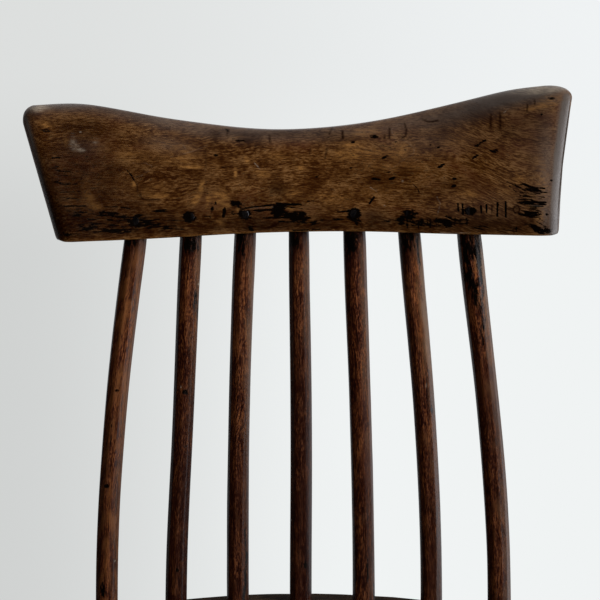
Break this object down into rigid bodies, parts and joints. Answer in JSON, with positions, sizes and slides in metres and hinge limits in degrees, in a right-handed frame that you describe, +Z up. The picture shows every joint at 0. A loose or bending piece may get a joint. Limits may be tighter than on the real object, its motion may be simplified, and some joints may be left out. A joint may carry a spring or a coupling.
{
  "type": "comb-back stick chair",
  "caption": "Wooden comb-back stick armchair: plank seat on raked legs with stretchers, a curved arm bow on sticks, and long sticks rising to a shaped comb.",
  "frame": {"origin": "on the floor, under the middle of the outer box of the chair", "axes": "+Z up, -Y the way the sitter faces, +X to the right of a person who faces the chair"},
  "size_m": [0.5946, 0.516, 1.1048],
  "materials": {
    "comb_wood": "old dark brown fruitwood, waxed, worn to gold and scorched black in places",
    "stick_wood": "red brown shaved sticks with long grain, satin wax",
    "bow_wood": "grey black old wood, rubbed paler on the edges",
    "seat_wood": "dark brown plank, polished by sitting",
    "leg_wood": "dark brown shaved legs, scuffed near the floor",
    "peg_wood": "end grain of pegs and wedges, almost black"
  },
  "bodies": {
    "root": {"seat": "seat_wood", "leg_front_left": "leg_wood", "leg_front_right": "leg_wood", "leg_rear_left": "leg_wood", "leg_rear_right": "leg_wood", "leg_wedge_front_left": "peg_wood", "leg_wedge_front_right": "peg_wood", "leg_wedge_rear_left": "peg_wood", "leg_wedge_rear_right": "peg_wood", "stretcher_left": "leg_wood", "stretcher_right": "leg_wood", "stretcher_cross": "leg_wood", "arm_left": "bow_wood", "arm_right": "bow_wood", "bow_crest": "bow_wood", "crest_peg_1": "peg_wood", "crest_peg_2": "peg_wood", "crest_peg_3": "peg_wood", "crest_peg_4": "peg_wood", "short_stick_left_1": "stick_wood", "short_stick_left_2": "stick_wood", "short_stick_left_3": "stick_wood", "short_stick_left_4": "stick_wood", "short_stick_right_1": "stick_wood", "short_stick_right_2": "stick_wood", "short_stick_right_3": "stick_wood", "short_stick_right_4": "stick_wood", "stick_wedge_left_1": "peg_wood", "stick_wedge_left_2": "peg_wood", "stick_wedge_left_3": "peg_wood", "stick_wedge_left_4": "peg_wood", "stick_wedge_right_1": "peg_wood", "stick_wedge_right_2": "peg_wood", "stick_wedge_right_3": "peg_wood", "stick_wedge_right_4": "peg_wood", "comb": "comb_wood", "long_stick_1": "stick_wood", "long_stick_2": "stick_wood", "long_stick_3": "stick_wood", "long_stick_4": "stick_wood", "long_stick_5": "stick_wood", "long_stick_6": "stick_wood", "long_stick_7": "stick_wood", "comb_peg_1": "peg_wood", "comb_peg_2": "peg_wood", "comb_peg_3": "peg_wood", "comb_peg_4": "peg_wood", "comb_peg_5": "peg_wood", "comb_peg_6": "peg_wood", "comb_peg_7": "peg_wood"}
  },
  "joints": []
}
